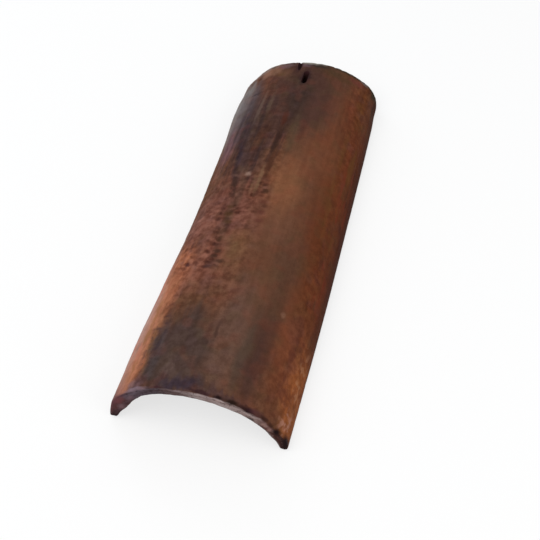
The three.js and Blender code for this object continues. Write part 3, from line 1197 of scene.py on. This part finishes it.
def clay():
    """Fired clay: kiln marks over a brown body, drags, chatter, grain and pits."""
    material, n = new_material("fired_clay")
    where = bat_place(n)
    flat, place = where[0], where[-1]
    wild = wildness(n, flat)
    dragged = drags(n, flat)
    grain = n.noise(place, 1.3, 4, 0.75)
    colour, dabbed = outer_colour(n, where, wild, dragged)
    colour = other_colours(n, colour, where)
    shoulder = n.mark(flat, *SMOOTH_SHOULDER, 0.8)
    n.feed(n.tree.nodes["Principled BSDF"], {
        "Base Color": n.mix(colour, GRAIN_SHADE, n.step(grain, 0.5, 0.72, 0, 0.25)),
        "Roughness": n.scaled(shoulder, -0.3, n.scaled(grain, 0.25, 0.68)),
        "Specular IOR Level": SHEEN,
        "Normal": fine_relief(n, place, grain, wild, dabbed, dragged),
    })
    return material


# -------------------- stage and camera

# The stage's lengths are in metres.
FLOOR_SIZE = 12
FLOOR_DROP = 0.0003
WHITE = (1, 1, 1, 1)

# What the floor reflects on the tile, what its lit share reflects to the camera, how large that
# share is, and between which distances from the tile it fades out.
FLOOR_GREY = (0.35, 0.35, 0.35, 1)
FLOOR_LIT = (0.95, 0.95, 0.95, 1)
FLOOR_SHADE = 0.3
SHADE_FADES = (0.5, 1.5)

SKY_COLOUR = (0.96, 0.98, 1.0, 1)
SKY_STRENGTH = 0.56

# Lamps: name, place, size, power in watts, and colour.
LAMPS = (
    ("key", (-0.6, -0.5, 1.7), 1.4, 14, (1.0, 0.985, 0.96)),
    ("sky", (-1.0, 1.2, 0.9), 0.9, 5, (0.85, 0.92, 1.0)),
    ("fill", (1.5, -0.5, 1.0), 1.4, 9, (1.0, 0.98, 0.95)),
)


def background_ray(n):
    """1 for the rays that have to find the background white, and 0 for those that light."""
    path = n.add("ShaderNodeLightPath").outputs
    seen = n.math("MAXIMUM", path["Is Camera Ray"], path["Is Glossy Ray"])
    return n.math("MAXIMUM", seen, path["Is Transmission Ray"])


def floor_material():
    """White of its own for the camera, but for a share that is lit and so keeps the shadow."""
    material, n = new_material("studio_floor")
    shader = n.tree.nodes["Principled BSDF"]
    n.feed(shader, {"Base Color": FLOOR_GREY, "Roughness": 1, "Specular IOR Level": 0})
    glow = n.add("ShaderNodeEmission", {"Color": WHITE, "Strength": 1}).outputs[0]
    lit = n.add("ShaderNodeBsdfDiffuse", {"Color": FLOOR_LIT}).outputs[0]
    where = n.add("ShaderNodeTexCoord").outputs["Object"]
    far = n.add("ShaderNodeVectorMath", {0: where}, operation="LENGTH").outputs["Value"]
    shade = n.step(far, *SHADE_FADES, FLOOR_SHADE, 0)
    white = n.add("ShaderNodeMixShader", {0: shade, 1: glow, 2: lit}).outputs[0]
    mixed = n.add("ShaderNodeMixShader", {0: background_ray(n), 1: shader.outputs[0], 2: white})
    n.feed(n.tree.nodes["Material Output"], {0: mixed.outputs[0]})
    return material


def studio_floor():
    """The floor under the tile."""
    half = FLOOR_SIZE / 2
    corners = [(x * half, y * half, -FLOOR_DROP) for x, y in ((-1, -1), (1, -1), (1, 1), (-1, 1))]
    mesh = bpy.data.meshes.new("studio_floor")
    mesh.from_pydata(corners, [], [(0, 1, 2, 3)])
    mesh.materials.append(floor_material())
    floor = scene_object("studio_floor", mesh)


def studio_world():
    """Soft light from all round, and white where the background is seen."""
    world = bpy.data.worlds.new("studio")
    world.use_nodes = True
    n = Nodes(world)
    n.tree.nodes.clear()
    sky = n.add("ShaderNodeBackground", {"Color": SKY_COLOUR, "Strength": SKY_STRENGTH}).outputs[0]
    white = n.add("ShaderNodeBackground", {"Color": WHITE, "Strength": 1}).outputs[0]
    mixed = n.add("ShaderNodeMixShader", {0: background_ray(n), 1: sky, 2: white}).outputs[0]
    n.add("ShaderNodeOutputWorld", {0: mixed})
    bpy.context.scene.world = world


def soft_lamp(name, place, size, power, colour):
    """Square area lamp that looks at the tile."""
    data = bpy.data.lights.new(name, "AREA")
    data.size = size
    data.energy = power
    data.color = colour
    lamp = scene_object(name, data)
    lamp.location = place
    lamp.rotation_euler = (-Vector(place)).to_track_quat("-Z", "Y").to_euler()


def photo_camera():
    """The camera that took the photograph."""
    data = bpy.data.cameras.new("photo_camera")
    data.lens = LENS
    data.sensor_width = SENSOR
    camera = scene_object("photo_camera", data)
    heading = Matrix.Rotation(math.radians(AZIMUTH), 4, "Z")
    tilt = Matrix.Rotation(QUARTER - math.radians(ELEVATION), 4, "X")
    roll = Matrix.Rotation(math.radians(ROLL), 4, "Z")
    aimed = Matrix.Translation(Vector(AIM) * MM) @ heading @ tilt @ roll
    camera.matrix_world = aimed @ Matrix.Translation((0, 0, DISTANCE * MM))
    bpy.context.scene.camera = camera


# -------------------- the scene

body = tile_body()
body.data.materials.clear()
body.data.materials.append(clay())
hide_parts("barrel_tile")
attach(body, "root")

studio_floor()
studio_world()
for lamp in LAMPS:
    soft_lamp(*lamp)
photo_camera()
bpy.context.scene.view_settings.view_transform = "Standard"
